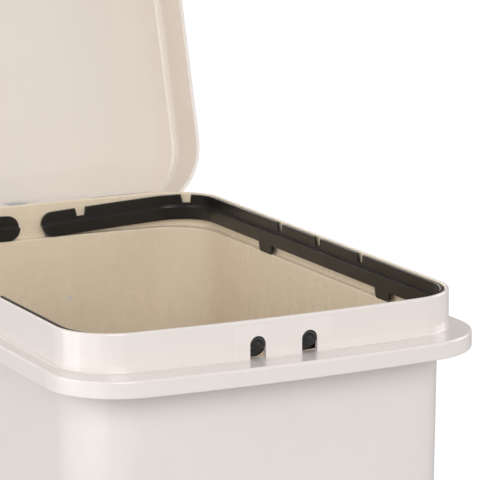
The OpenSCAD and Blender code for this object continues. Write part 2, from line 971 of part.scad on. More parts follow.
module tyre_right() {
    color(rubber) tyre();
}

body_shell();
base_plinth();
base_feet();
base_screws();
rear_cover();
rear_cover_screws();
rod_guides();
hinge_block();
hinge_block_screws();
hinge_rod();
hinge_rod_caps();
lid_stops();
lid_shell();
lid_buffers();
lid_crank();
lid_crank_screws();
crank_pin();
bag_frame_left();
bag_frame_right();
lever_axle();
lever_axle_clips();
pedal_lever();
pedal_shoe();
pedal_tread();
pedal_screws();
lever_pin();
push_rod();
rod_head();
rod_foot();
wheel_axles();
wheel_caps();
wheel_left();
wheel_right();
tyre_left();
tyre_right();
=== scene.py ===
"""Looks of the pedal trash can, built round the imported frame.

Sizes are in millimetres and angles in degrees; meshes are turned into metres as they are made.
+X is the right side, the pedal faces -Y, the lid hinge is at +Y, and the floor is at zero.
"""
import math

import bmesh
import bpy
from mathutils import Matrix, Vector


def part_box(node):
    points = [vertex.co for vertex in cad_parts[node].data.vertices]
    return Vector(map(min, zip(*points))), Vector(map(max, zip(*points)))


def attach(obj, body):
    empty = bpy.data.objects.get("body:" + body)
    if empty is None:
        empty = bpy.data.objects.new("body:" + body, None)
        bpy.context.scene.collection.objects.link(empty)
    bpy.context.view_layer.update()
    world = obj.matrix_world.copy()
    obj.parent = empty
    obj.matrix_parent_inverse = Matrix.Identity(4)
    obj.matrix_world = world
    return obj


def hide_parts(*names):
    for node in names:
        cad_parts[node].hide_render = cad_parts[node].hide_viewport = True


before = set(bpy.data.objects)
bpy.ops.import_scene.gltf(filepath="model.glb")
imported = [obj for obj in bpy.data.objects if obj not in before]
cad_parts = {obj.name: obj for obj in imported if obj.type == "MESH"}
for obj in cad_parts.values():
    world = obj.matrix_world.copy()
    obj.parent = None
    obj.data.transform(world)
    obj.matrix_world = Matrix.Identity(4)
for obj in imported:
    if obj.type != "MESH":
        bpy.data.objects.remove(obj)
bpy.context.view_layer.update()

MM = 0.001


def cad_box(node):
    """Lowest and highest corner of a CAD node in millimetres."""
    lo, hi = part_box(node)
    return lo / MM, hi / MM


# ------------------------------------------------------------------ sizes
body_lo, body_hi = cad_box("body_shell")
rod_lo, rod_hi = cad_box("hinge_rod")
block_lo, block_hi = cad_box("hinge_block")
cover_lo, cover_hi = cad_box("rear_cover")
caps_lo, caps_hi = cad_box("hinge_rod_caps")

RIM_Z = body_hi.z
BODY_Z = body_lo.z
COLLAR_H = 28.0
COLLAR_T = 3.0
LEDGE_SIDE = 11.0
LEDGE_END = 22.0
FLANGE_H = 12.5
PLATE_T = 3.0
BODY_INSET = 5.0
WALL_T = 2.8
TAPER = math.tan(math.radians(0.9))
END_BOW = 4.5
FLOOR_Z = 62.0
UNDER_FLOOR_Z = 59.0
LEDGE_Z = RIM_Z - COLLAR_H

FLANGE_X = body_hi.x
FLANGE_Y = body_hi.y
MOUTH_X = FLANGE_X - LEDGE_SIDE
MOUTH_Y = FLANGE_Y - LEDGE_END
MOUTH_R = 44.0
FLANGE_R = MOUTH_R + LEDGE_SIDE
BODY_X = MOUTH_X - BODY_INSET
BODY_Y = MOUTH_Y - BODY_INSET
BODY_R = MOUTH_R + 3.0

HINGE_Y = (rod_lo.y + rod_hi.y) / 2
HINGE_Z = (rod_lo.z + rod_hi.z) / 2
HINGE_R = (rod_hi.z - rod_lo.z) / 2
BLOCK_X = block_hi.x
LID_OPEN = 105.0
LID_T = 3.0
LID_X = FLANGE_X + 1.5
LID_Y = FLANGE_Y + 1.0
LID_R = FLANGE_R + 1.5
LIP_Z = LEDGE_Z + 0.8
PANEL_Z = LIP_Z + 37.5
CROWN = 3.0

PEG_X = 20.0
PEG_Z = RIM_Z - 17.6
PEG_R = 5.92
KEYHOLE_R = 6.0
BAND_H = 20.2
BAND_T = 2.0
BAND_STEP = 3.0
RIB_H = 1.6
FRAME_RISE = 3.2
FRAME_X = MOUTH_X - COLLAR_T - 0.9
FRAME_Y = MOUTH_Y - COLLAR_T - 0.9
FRAME_R = MOUTH_R - COLLAR_T - 0.9

SCREW_HOLE_R = 2.05
BLOCK_SCREW_X = 36.0
BLOCK_SCREW_Y = HINGE_Y - 4
RIVET_X = 32.0
RIVET_LEVELS = (95, 330, 560)
WHEEL_ROOM = 3.0

CORNER_STEPS = 14
END_STEPS = 6
# Length of the narrow strip kept beside each rounded edge, so that the flat next to it shades flat
SUPPORT = 0.2


# ------------------------------------------------------------------ outlines
def quarter(hx, hy, r, bow):
    """A quarter of a rounded rectangle whose front and back bow outwards, from its side to its middle."""
    lean = math.atan(2 * bow / (hx - r))
    cx = hx - r
    cy = hy - bow - r * math.cos(lean)
    x0 = cx + r * math.sin(lean)
    points = [(hx, cy - 1.0)]
    for i in range(CORNER_STEPS + 1):
        a = i * (math.pi / 2 - lean) / CORNER_STEPS
        points.append((cx + r * math.cos(a), cy + r * math.sin(a)))
    for i in range(1, END_STEPS + 1):
        x = x0 * (1 - i / END_STEPS)
        points.append((x, hy - bow * (x / x0) ** 2))
    return points


def plan(hx, hy, r, bow=END_BOW):
    """Whole outline of a rounded rectangle, mirrored from its quarter."""
    q = quarter(hx, hy, r, bow)
    back = q[-2::-1]
    return (q + [(-x, y) for x, y in back] + [(-x, -y) for x, y in q]
            + [(x, -y) for x, y in back])


def outline(kind, grow, z):
    """Outline of one of the body's shapes at a level, grown outwards."""
    if kind == "collar":
        points = plan(MOUTH_X + grow, MOUTH_Y + grow, MOUTH_R + grow)
    elif kind == "flange":
        points = plan(FLANGE_X + grow, FLANGE_Y + grow, FLANGE_R + grow)
    elif kind == "lid":
        points = plan(LID_X + grow, LID_Y + grow, max(LID_R + grow, 12.0))
    elif kind == "band":
        points = plan(FRAME_X + grow, FRAME_Y + grow, FRAME_R + grow)
    else:
        lean = (LEDGE_Z - z) * TAPER
        points = plan(BODY_X + grow - lean, BODY_Y + grow - lean, BODY_R + grow - lean / 3)
    return [(x, y, z) for x, y in points]


def wall_y(x, z, grow=0.0):
    """Outer face of the body's rear wall."""
    lean = (LEDGE_Z - z) * TAPER
    return BODY_Y + grow - lean - END_BOW * (x / (BODY_X - BODY_R)) ** 2


def rounded(kind, grow, z, come, go, radius, steps=4):
    """Stations round a corner of a profile: come and go are its directions in (grow, level)."""
    at = [(grow - come[0] * (radius + SUPPORT), z - come[1] * (radius + SUPPORT))]
    for i in range(steps + 1):
        t = math.radians(90 * i / steps)
        a, b = radius * (1 - math.sin(t)), radius * (1 - math.cos(t))
        at.append((grow - come[0] * a + go[0] * b, z - come[1] * a + go[1] * b))
    at.append((grow + go[0] * (radius + SUPPORT), z + go[1] * (radius + SUPPORT)))
    return [(kind, g, level) for g, level in at]


OUT, IN, UP, DOWN = (1, 0), (-1, 0), (0, 1), (0, -1)


# ------------------------------------------------------------------ mesh helpers
def new_object(name, bm):
    mesh = bpy.data.meshes.new(name)
    bm.to_mesh(mesh)
    bm.free()
    piece = bpy.data.objects.new(name, mesh)
    bpy.context.scene.collection.objects.link(piece)
    return piece


def loft(name, rings, closed=False, inner_from=None):
    """Closed skin through rings of equal length. Faces from ring inner_from on take the second material."""
    bm = bmesh.new()
    rows = [[bm.verts.new(Vector(p) * MM) for p in ring] for ring in rings]
    count = len(rows[0])
    bands = len(rows) if closed else len(rows) - 1
    for k in range(bands):
        low, high = rows[k], rows[(k + 1) % len(rows)]
        for i in range(count):
            j = (i + 1) % count
            face = bm.faces.new((low[i], low[j], high[j], high[i]))
            face.material_index = 1 if inner_from is not None and k >= inner_from else 0
    if not closed:
        bm.faces.new(rows[0][::-1])
        cap = bm.faces.new(rows[-1])
        cap.material_index = 0 if inner_from is None else 1
    bmesh.ops.recalc_face_normals(bm, faces=bm.faces)
    return new_object(name, bm)


def prism(name, points, axis, start, end):
    """Straight prism of an outline. The outline's two numbers are the other axes, in order x, y, z."""
    def place(p, along):
        return {"x": (along, p[0], p[1]), "y": (p[0], along, p[1]), "z": (p[0], p[1], along)}[axis]
    return loft(name, [[place(p, start) for p in points], [place(p, end) for p in points]])


def circle(r, u=0.0, v=0.0, steps=40):
    turn = 2 * math.pi / steps
    return [(u + r * math.cos(i * turn), v + r * math.sin(i * turn)) for i in range(steps)]


def rod(name, axis, r, u, v, start, end, steps=40):
    return prism(name, circle(r, u, v, steps), axis, start, end)


def block(name, lo, hi):
    return prism(name, [(lo[0], lo[1]), (hi[0], lo[1]), (hi[0], hi[1]), (lo[0], hi[1])],
                 "z", lo[2], hi[2])


def rounded_outline(x, y0, y1, r, steps=8):
    """Rectangle with round corners, symmetric about x = 0."""
    corners = ((x - r, y1 - r, 0), (r - x, y1 - r, 90), (r - x, y0 + r, 180), (x - r, y0 + r, 270))
    points = []
    for cx, cy, first in corners:
        for i in range(steps + 1):
            a = math.radians(first + 90 * i / steps)
            points.append((cx + r * math.cos(a), cy + r * math.sin(a)))
    return points


def apply_modifiers(piece):
    graph = bpy.context.evaluated_depsgraph_get()
    mesh = bpy.data.meshes.new_from_object(piece.evaluated_get(graph))
    old = piece.data
    piece.modifiers.clear()
    piece.data = mesh
    bpy.data.meshes.remove(old)


def combine(piece, tools, operation):
    """Cuts the tools out of a piece, or joins them to it."""
    for tool in tools:
        step = piece.modifiers.new("combine", "BOOLEAN")
        step.object = tool
        step.operation = operation
        step.solver = "EXACT"
        apply_modifiers(piece)
        old = tool.data
        bpy.data.objects.remove(tool)
        bpy.data.meshes.remove(old)
    return piece


def cut(piece, *tools):
    return combine(piece, tools, "DIFFERENCE")


def join(piece, *tools):
    return combine(piece, tools, "UNION")


def bevel(piece, width, angle=35, segments=3):
    step = piece.modifiers.new("bevel", "BEVEL")
    step.width = width * MM
    step.segments = segments
    step.limit_method = "ANGLE"
    step.angle_limit = math.radians(angle)
    step.harden_normals = True
    return piece


def turn(piece, angle, pivot, axis="X"):
    """Turns a piece's mesh about an axis through a pivot."""
    centre = Matrix.Translation(Vector(pivot) * MM)
    spin = Matrix.Rotation(math.radians(angle), 4, axis)
    piece.data.transform(centre @ spin @ centre.inverted())
    piece.data.update()
    return piece


def mirror_x(piece, name):
    copy = bpy.data.objects.new(name, piece.data.copy())
    bpy.context.scene.collection.objects.link(copy)
    copy.data.transform(Matrix.Scale(-1, 4, (1, 0, 0)))
    copy.data.flip_normals()
    return copy


def smooth(piece, angle=32):
    mesh = piece.data
    for face in mesh.polygons:
        face.use_smooth = True
    mesh.set_sharp_from_angle(angle=math.radians(angle))
    step = piece.modifiers.new("weighted", "WEIGHTED_NORMAL")
    step.keep_sharp = True
    step.weight = 100
    apply_modifiers(piece)
    return piece


def paint(piece, *materials):
    for material in materials:
        piece.data.materials.append(material)
    return piece


def finish_piece(piece, body, nodes):
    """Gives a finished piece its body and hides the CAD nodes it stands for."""
    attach(piece, body)
    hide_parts(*nodes)
    return piece


# ------------------------------------------------------------------ materials
class Nodes:
    """Short forms for building a material's node tree."""

    def __init__(self, name):
        self.material = bpy.data.materials.new(name)
        self.material.use_nodes = True
        self.tree = self.material.node_tree
        self.shader = self.tree.nodes["Principled BSDF"]
        self.place = self.add("ShaderNodeTexCoord").outputs["Object"]

    def add(self, kind, **inputs):
        node = self.tree.nodes.new(kind)
        for key, value in inputs.items():
            self.feed(node.inputs[key], value)
        return node

    def feed(self, socket, value):
        if isinstance(value, bpy.types.NodeSocket):
            self.tree.links.new(value, socket)
        else:
            socket.default_value = value

    def noise(self, scale, detail=2.0, rough=0.5, stretch=(1, 1, 1)):
        """Noise in cycles per metre, from 0 to 1."""
        mapping = self.add("ShaderNodeMapping", Vector=self.place, Scale=stretch)
        node = self.add("ShaderNodeTexNoise", Vector=mapping.outputs[0], Scale=scale,
                        Detail=detail, Roughness=rough)
        return node.outputs["Fac"]

    def ramp(self, value, low, high, start=0.0, end=1.0):
        node = self.add("ShaderNodeMapRange", Value=value)
        node.inputs["From Min"].default_value = low
        node.inputs["From Max"].default_value = high
        node.inputs["To Min"].default_value = start
        node.inputs["To Max"].default_value = end
        return node.outputs["Result"]

    def calculate(self, operation, a, b):
        node = self.tree.nodes.new("ShaderNodeMath")
        node.operation = operation
        self.feed(node.inputs[0], a)
        self.feed(node.inputs[1], b)
        return node.outputs[0]

    def mix(self, fac, a, b):
        node = self.tree.nodes.new("ShaderNodeMix")
        node.data_type = "RGBA"
        self.feed(node.inputs[0], fac)
        for socket, value in ((node.inputs[6], a), (node.inputs[7], b)):
            self.feed(socket, value)
        return node.outputs[2]

    def bump(self, height, strength, distance_mm, normal=None):
        node = self.add("ShaderNodeBump", Height=height, Strength=strength,
                        Distance=distance_mm * MM)
        if normal is not None:
            self.feed(node.inputs["Normal"], normal)
        return node.outputs["Normal"]

    def set(self, **values):
        for key, value in values.items():
            self.feed(self.shader.inputs[key.replace("_", " ")], value)


def tint(colour, factor):
    return tuple(min(c * factor, 1.0) for c in colour[:3]) + (1.0,)


def moulded_plastic(name, colour, shade, roughness, grain=0.02, wear=1.06, coat=0.0):
    """Moulded plastic with drifting colour, mottle, dust, smears, scuffs, rubbed edges and orange peel."""
    n = Nodes(name)
    drift = n.ramp(n.noise(5.0, 3.0), 0.32, 0.68)
    mottle = n.ramp(n.noise(60.0, 4.0), 0.3, 0.7)
    base = n.mix(drift, colour + (1.0,), shade + (1.0,))
    base = n.mix(n.calculate("MULTIPLY", mottle, 0.35), base, tint(shade, 0.985))
    edge = n.ramp(n.add("ShaderNodeNewGeometry").outputs["Pointiness"], 0.52, 0.60)
    base = n.mix(n.calculate("MULTIPLY", edge, 0.5), base, tint(colour, wear))
    dust = n.ramp(n.noise(180.0, 6.0, 0.7), 0.5, 0.8)
    base = n.mix(n.calculate("MULTIPLY", dust, 0.12), base, tint(shade, 0.93))
    smudge = n.ramp(n.noise(14.0, 4.0, 0.6), 0.3, 0.75, roughness * 0.85, roughness * 1.2)
    scuff = n.ramp(n.noise(75.0, 6.0, 0.65, (1.0, 1.0, 0.3)), 0.45, 0.8, 0.0, 0.05)
    rough = n.calculate("ADD", smudge, scuff)
    rough = n.calculate("ADD", rough, n.calculate("MULTIPLY", edge, 0.06))
    peel = n.bump(n.noise(320.0, 3.0), 0.35, grain)
    wave = n.bump(n.noise(22.0, 1.0), 0.2, 0.06, peel)
    n.set(Base_Color=base, Roughness=rough, Normal=wave)
    n.set(IOR=1.5, Coat_Weight=coat, Coat_Roughness=0.08)
    return n.material


def rubber_material(name, colour):
    n = Nodes(name)
    dust = n.ramp(n.noise(45.0, 5.0, 0.65), 0.45, 0.75)
    base = n.mix(n.calculate("MULTIPLY", dust, 0.4), colour + (1.0,), tint(colour, 1.9))
    rough = n.ramp(n.noise(130.0, 3.0), 0.3, 0.7, 0.62, 0.8)
    n.set(Base_Color=base, Roughness=rough, Normal=n.bump(n.noise(900.0, 3.0), 0.5, 0.05))
    n.set(IOR=1.5)
    return n.material


def steel_material(name, colour, stretch):
    """Bright steel with drawing lines along one axis and a few darker spots."""
    n = Nodes(name)
    drawn = n.noise(900.0, 2.0, 0.5, stretch)
    spots = n.ramp(n.noise(120.0, 4.0), 0.62, 0.75)
    base = n.mix(n.ramp(drawn, 0.3, 0.7), colour + (1.0,), tint(colour, 0.82))
    base = n.mix(n.calculate("MULTIPLY", spots, 0.5), base, tint(colour, 0.5))
    rough = n.ramp(drawn, 0.3, 0.7, 0.22, 0.38)
    n.set(Base_Color=base, Roughness=rough, Normal=n.bump(drawn, 0.15, 0.01), Metallic=1.0)
    return n.material


CREAM = (0.795, 0.735, 0.700)
CREAM_SHADE = (0.775, 0.712, 0.677)
STEEL = (0.60, 0.60, 0.61)

cream = moulded_plastic("cream_plastic", CREAM, CREAM_SHADE, 0.17, coat=0.4)
# The bin's inside is the same plastic as outside, given a warmer, brighter cream: painted warm bounce light
cream_painted_bounce_light = moulded_plastic(
    "cream_plastic_inside_painted_bounce_light", (0.835, 0.720, 0.560), (0.815, 0.695, 0.530), 0.26)
cream_lid = moulded_plastic("cream_plastic_lid", CREAM, CREAM_SHADE, 0.17, coat=0.4)
# The lid's inner face is the same plastic as outside, given a warmer cream: painted warm bounce light
cream_lid_painted_bounce_light = moulded_plastic(
    "cream_plastic_lid_inside_painted_bounce_light", (0.820, 0.742, 0.668), (0.800, 0.718, 0.640), 0.22)
black_satin = moulded_plastic(
    "black_satin_plastic", (0.0098, 0.0092, 0.0090), (0.0078, 0.0073, 0.0071), 0.30,
    grain=0.015, wear=1.8)
black_matte = moulded_plastic(
    "black_matte_plastic", (0.020, 0.020, 0.021), (0.016, 0.016, 0.017), 0.5,
    grain=0.05, wear=1.8)
rubber = rubber_material("grey_rubber", (0.030, 0.030, 0.031))
tyre_rubber = rubber_material("tyre_rubber", (0.045, 0.045, 0.046))
steel = steel_material("drawn_steel", STEEL, (0.05, 1.0, 1.0))
steel_rod = steel_material("rod_steel", STEEL, (1.0, 1.0, 0.05))


# ------------------------------------------------------------------ body
def keyhole(x, rear):
    """Cutter for a keyhole: an arch from the ledge up to a half circle at the peg."""
    steps = 20
    arch = [(x + KEYHOLE_R, LEDGE_Z)]
    for i in range(steps + 1):
        a = math.pi * i / steps
        arch.append((x + KEYHOLE_R * math.cos(a), PEG_Z + KEYHOLE_R * math.sin(a)))
    arch.append((x - KEYHOLE_R, LEDGE_Z))
    side = 1 if rear else -1
    return prism("cutter", arch, "y", side * (MOUTH_Y - 12), side * (MOUTH_Y + 6))


def keyhole_pad(rear):
    """Low raised pad round the keyholes, from the ledge to just under the rim."""
    half, proud, top = 38.0, 0.25, RIM_Z - 3.6
    side = 1 if rear else -1
    xs = [half * (i / 6 - 1) for i in range(13)]
    x0 = MOUTH_X - MOUTH_R

    def face(x, out):
        return side * (MOUTH_Y - END_BOW * (x / x0) ** 2 + out)

    shape = [(x, face(x, proud)) for x in xs] + [(x, face(x, -1.2)) for x in xs[::-1]]
    return prism("pad", shape, "z", LEDGE_Z - 1.5, top)


def wheel_arch(side):
    """Cutter for a wheel arch with two round upper corners."""
    tyre_lo, tyre_hi = cad_box("tyre_right")
    x0, x1 = sorted((side * (tyre_lo.x - WHEEL_ROOM), side * (tyre_hi.x + WHEEL_ROOM)))
    top = tyre_hi.z + WHEEL_ROOM
    r = 6.0
    arch = [(x0, BODY_Z - 1), (x1, BODY_Z - 1)]
    for cx, first in ((x1 - r, 0), (x0 + r, 90)):
        for i in range(9):
            a = math.radians(first + 90 * i / 8)
            arch.append((cx + r * math.cos(a), top - r + r * math.sin(a)))
    return prism("cutter", arch, "y", MOUTH_Y / 2, MOUTH_Y)


def cut_lever_gaps(shell):
    """Cuts the lever's openings in the front and rear walls: half width, top and stretch along Y."""
    gaps = ((20, 52, -MOUTH_Y, -MOUTH_Y / 2), (16, 54, MOUTH_Y / 2, MOUTH_Y))
    for half, top, y0, y1 in gaps:
        arch = rounded_outline(half, BODY_Z - 8, top, 5.0, 4)
        cut(shell, prism("cutter", arch, "y", y0, y1))


def make_body():
    core = -60.0
    stations = (
        [("body", core, UNDER_FLOOR_Z)]
        + rounded("body", -WALL_T, UNDER_FLOOR_Z, OUT, DOWN, 2.0)
        + rounded("body", -WALL_T, BODY_Z, DOWN, OUT, 0.3, 2)
        + rounded("body", 0, BODY_Z, OUT, UP, 0.4, 2)
        + rounded("body", 0, LEDGE_Z - PLATE_T, UP, OUT, 1.5)
        + rounded("flange", -PLATE_T, LEDGE_Z - PLATE_T, OUT, DOWN, 0.8)
        + rounded("flange", -PLATE_T, LEDGE_Z - FLANGE_H, DOWN, OUT, 0.6, 3)
        + rounded("flange", 0, LEDGE_Z - FLANGE_H, OUT, UP, 0.8)
        + rounded("flange", 0, LEDGE_Z, UP, IN, 1.6, 5)
        + rounded("collar", 0, LEDGE_Z, IN, UP, 1.3)
        + rounded("collar", 0, RIM_Z, UP, IN, 1.2)
    )
    inside = len(stations)
    stations += (
        rounded("collar", -COLLAR_T, RIM_Z, IN, DOWN, 1.2)
        + rounded("collar", -COLLAR_T, LEDGE_Z, DOWN, IN, 1.2)
        + rounded("body", -WALL_T, LEDGE_Z, IN, DOWN, 1.2)
        + rounded("body", -WALL_T, FLOOR_Z, DOWN, IN, 12.0, 6)
        + [("body", core, FLOOR_Z)]
    )
    shell = loft("can_body", [outline(*s) for s in stations], inner_from=inside)
    # The inner faces take the warmer cream of painted bounce light
    paint(shell, cream, cream_painted_bounce_light)
    join(shell, keyhole_pad(False), keyhole_pad(True))
    cut(shell, *[keyhole(x, rear) for x in (-PEG_X, PEG_X) for rear in (False, True)])
    head_lo, head_hi = cad_box("rod_head")
    cut(shell, block("cutter", (head_lo.x - 0.8, head_lo.y - 0.6, LEDGE_Z - PLATE_T - 1),
                     (head_hi.x + 0.8, head_hi.y + 0.8, LEDGE_Z + 1)))
    cut_lever_gaps(shell)
    for side in (-1, 1):
        cut(shell, wheel_arch(side))
    # Holes for the hinge block's screws and the rear cover's rivets
    for side in (-1, 1):
        cut(shell, rod("cutter", "z", SCREW_HOLE_R, side * BLOCK_SCREW_X, BLOCK_SCREW_Y,
                       LEDGE_Z - PLATE_T - 1, LEDGE_Z + 1, 20))
        for z in RIVET_LEVELS:
            cut(shell, rod("cutter", "y", SCREW_HOLE_R, side * RIVET_X, z, MOUTH_Y / 2, MOUTH_Y, 20))
    smooth(shell)
    return finish_piece(shell, "body", ["body_shell"])


# ------------------------------------------------------------------ lid
def lid_skin(skin, start_z, edge_r, top, steps=6):
    """Profile of the lid from its lip up to the raised middle of the panel: (inset, level)."""
    draft = 1.2
    crown_edge = 42
    ease = 4
    points = [(skin, start_z)]
    slope = CROWN / (crown_edge - draft - edge_r)
    last = 90 - math.degrees(math.atan(slope))
    for i in range(steps + 1):
        a = math.radians(last * i / steps)
        points.append((skin + draft + edge_r * (1 - math.cos(a)), top - edge_r + edge_r * math.sin(a)))
    # The slope eases into the flat middle over a short parabola
    for d in (-4, -2, 0, 2, 4):
        drop = slope * (ease - d) ** 2 / (4 * ease)
        points.append((skin + crown_edge + d, top + CROWN - drop))
    points.append((skin + 60, top + CROWN))
    return points


def add_lug(lid, side, gap):
    """Adds a hinge lug beside the block, with the rod's bore and the recess of the rod's cap."""
    lug_w, lug_r = 9.0, 7.0
    front_y = HINGE_Y - 5
    rear_y = LID_Y - LID_T + 0.5
    root_z = PANEL_Z + 0.5
    lug = [(front_y, root_z), (front_y, HINGE_Z + 5)]
    for i in range(17):
        a = math.pi * i / 16
        lug.append((HINGE_Y - lug_r * math.cos(a), HINGE_Z - lug_r * math.sin(a)))
    lug += [(rear_y, HINGE_Z), (rear_y, root_z)]
    join(lid, prism("lug", lug, "x", *sorted((side * gap, side * (gap + lug_w)))))
    bore = sorted((side * BLOCK_X, side * (gap + lug_w + 1)))
    cut(lid, rod("cutter", "x", HINGE_R + 0.08, HINGE_Y, HINGE_Z, *bore))
    cap_r = (caps_hi.z - caps_lo.z) / 2
    recess = sorted((side * (gap + lug_w), side * (caps_hi.x + 1)))
    cut(lid, rod("cutter", "x", cap_r + 0.4, HINGE_Y, HINGE_Z, *recess))


def make_lid():
    top = PANEL_Z + LID_T
    outer = lid_skin(0, LIP_Z + 1.0, 9.0, top)
    inner = lid_skin(LID_T, LIP_Z + 1.0, 6.0, PANEL_Z)
    stations = [("lid", -inset, z) for inset, z in outer[::-1]]
    stations += rounded("lid", 0, LIP_Z, DOWN, IN, 0.8)
    inside = len(stations)
    stations += rounded("lid", -LID_T, LIP_Z, IN, UP, 0.8)
    stations += [("lid", -inset, z) for inset, z in inner]
    lid = loft("can_lid", [outline(*s) for s in stations], inner_from=inside)
    # The inner faces take the warmer cream of painted bounce light
    paint(lid, cream_lid, cream_lid_painted_bounce_light)
    # Room for the hinge block, and a shorter skirt behind the hinge
    gap = BLOCK_X + 1
    rear_lip = 6.0
    cut(lid, block("cutter", (-gap, HINGE_Y - 12, LIP_Z - 1), (gap, LID_Y + 1, PANEL_Z - 0.3)))
    cut(lid, block("cutter", (-LID_X - 1, HINGE_Y - 6, LIP_Z - 2),
                   (LID_X + 1, LID_Y + 1, HINGE_Z - rear_lip)))
    rib_start, rib_end, rib_low = 66.0, 132.0, 0.9
    crank_screw_x = 11.0
    crank_screw_y = HINGE_Y - 10
    for side in (-1, 1):
        add_lug(lid, side, gap)
        # Low stiffening rib beside each lug, and a hole for a screw of the crank
        x0, x1 = sorted((side * rib_start, side * rib_end))
        join(lid, block("rib", (x0, HINGE_Y - 15, PANEL_Z - rib_low), (x1, HINGE_Y - 14, PANEL_Z + 0.5)))
        cut(lid, rod("cutter", "z", SCREW_HOLE_R, side * crank_screw_x, crank_screw_y,
                     PANEL_Z - 2, PANEL_Z + 2.4, 20))
    turn(lid, -LID_OPEN, (0, HINGE_Y, HINGE_Z))
    smooth(lid)
    return finish_piece(lid, "lid", ["lid_shell"])


# ------------------------------------------------------------------ bag frames
def band_profile():
    """Cross-section of the band: an upper strip, a rib, and a lower strip set further in."""
    low, high = PEG_Z - BAND_H / 2, PEG_Z + BAND_H / 2
    rib = RIB_H / 2
    depth = BAND_STEP + BAND_T
    corners = [
        (0, high, OUT, DOWN, 0.5), (0, PEG_Z - rib, DOWN, IN, 0.5),
        (-BAND_STEP, PEG_Z - rib, IN, DOWN, 0.4), (-BAND_STEP, low, DOWN, IN, 0.5),
        (-depth, low, IN, UP, 0.5), (-depth, PEG_Z + rib, UP, OUT, 0.5),
        (-BAND_T, PEG_Z + rib, OUT, UP, 0.4), (-BAND_T, high, UP, OUT, 0.5),
    ]
    stations = []
    for grow, z, come, go, radius in corners:
        stations += rounded("band", grow, z, come, go, radius, 2)
    return stations


def band_notch(x, y, angle):
    """Cutter for a notch in the band's top edge, flared upwards; angle is the wall's direction."""
    top, half, height, flare = PEG_Z + BAND_H / 2, 3.5, 6.9, 1.5
    shape = [(-half, top - height), (half, top - height), (half + flare, top + 1), (-half - flare, top + 1)]
    tool = prism("cutter", shape, "x", -14, 14)
    spin = Matrix.Rotation(math.radians(angle), 4, "Z")
    tool.data.transform(Matrix.Translation(Vector((x, y, 0)) * MM) @ spin)
    return tool


def make_peg(side):
    """Peg with a domed end and a shallow ring round its middle."""
    start = FRAME_Y - BAND_T + 0.2
    end = MOUTH_Y + 0.3
    dome_r, dome_h = 1.3, 1.1
    shoulder = end - 1.6
    profile = [(0.05, start), (PEG_R, start), (PEG_R, shoulder)]
    for angle in (20, 40, 60, 80):
        a = math.radians(angle)
        profile.append((PEG_R - dome_r + dome_r * math.cos(a), shoulder + dome_h * math.sin(a)))
    # The ring is a shallow groove in the dome
    profile += [(3.6, end - 0.25), (3.1, end - 0.7), (2.6, end - 0.75), (2.1, end - 0.2), (0.05, end)]
    rings = []
    for i in range(40):
        a = 2 * math.pi * i / 40
        rings.append([(PEG_X + r * math.cos(a), side * y, PEG_Z + r * math.sin(a)) for r, y in profile])
    return loft("peg", rings, closed=True)


def make_band(name):
    half = BAND_H / 2
    low, high = PEG_Z - half, PEG_Z + half
    band = loft(name, [outline(*s) for s in band_profile()], closed=True)
    # The band ends round, about the pegs. The kept shape is a hair taller than the band.
    keep = []
    for i in range(25):
        a = math.pi * i / 24
        keep.append((PEG_X - half * math.sin(a), PEG_Z - half * math.cos(a) * 1.001))
    keep += [(MOUTH_X, high + 0.01), (MOUTH_X, low - 0.01)]
    combine(band, [prism("keep", keep, "y", -MOUTH_Y, MOUTH_Y)], "INTERSECT")
    for side in (-1, 1):
        join(band, make_peg(side))
    tab_half, tab_corner = 10.0, 1.5
    tab_low = low - 7.2
    tab_x = FRAME_X - BAND_STEP
    for y in (85, -108):
        shape = [(y - tab_half + tab_corner, tab_low), (y + tab_half - tab_corner, tab_low),
                 (y + tab_half, tab_low + tab_corner), (y + tab_half + 1, low + 1),
                 (y - tab_half - 1, low + 1), (y - tab_half, tab_low + tab_corner)]
        join(band, prism("tab", shape, "x", tab_x - BAND_T, tab_x))
    corner = FRAME_R * (1 - math.cos(math.radians(45)))
    end_notch_x = 45.0
    notches = [(FRAME_X, y, 0) for y in (63, -1, -70)]
    for side in (-1, 1):
        notches.append((end_notch_x, side * FRAME_Y, 90))
        notches.append((FRAME_X - corner, side * (FRAME_Y - corner - END_BOW / 2), side * 45))
    cut(band, *[band_notch(*place) for place in notches])
    turn(band, -FRAME_RISE, (PEG_X, 0, PEG_Z), "Y")
    return band


def make_bands():
    right = make_band("bag_band_right")
    left = mirror_x(right, "bag_band_left")
    for piece, side in ((right, "right"), (left, "left")):
        smooth(piece)
        finish_piece(paint(piece, black_satin), "frame_" + side, ["bag_frame_" + side])


# ------------------------------------------------------------------ hinge block and rear cover
def make_hinge_block():
    top = block_hi.z
    front_y = cad_box("rod_head")[0].y - 0.4
    window, cheek = 12.8, 15.0
    piece = block("hinge_cover", tuple(block_lo), (block_hi.x, front_y, top))
    for side in (-1, 1):
        xs = sorted((side * cheek, side * BLOCK_X))
        join(piece, block("side", (xs[0], block_lo.y, block_lo.z), (xs[1], block_hi.y, top)))
        cut(piece, rod("cutter", "z", SCREW_HOLE_R, side * BLOCK_SCREW_X, BLOCK_SCREW_Y,
                       block_lo.z - 1, block_lo.z + 7, 20))
    cut(piece, block("cutter", (-window, block_lo.y - 1, block_lo.z - 1),
                     (window, front_y + 1, HINGE_Z + 10)))
    cut(piece, rod("cutter", "x", HINGE_R + 0.02, HINGE_Y, HINGE_Z, -BLOCK_X - 1, BLOCK_X + 1))
    bevel(piece, 0.7, 50)
    apply_modifiers(piece)
    smooth(piece)
    finish_piece(paint(piece, cream), "body", ["hinge_block"])


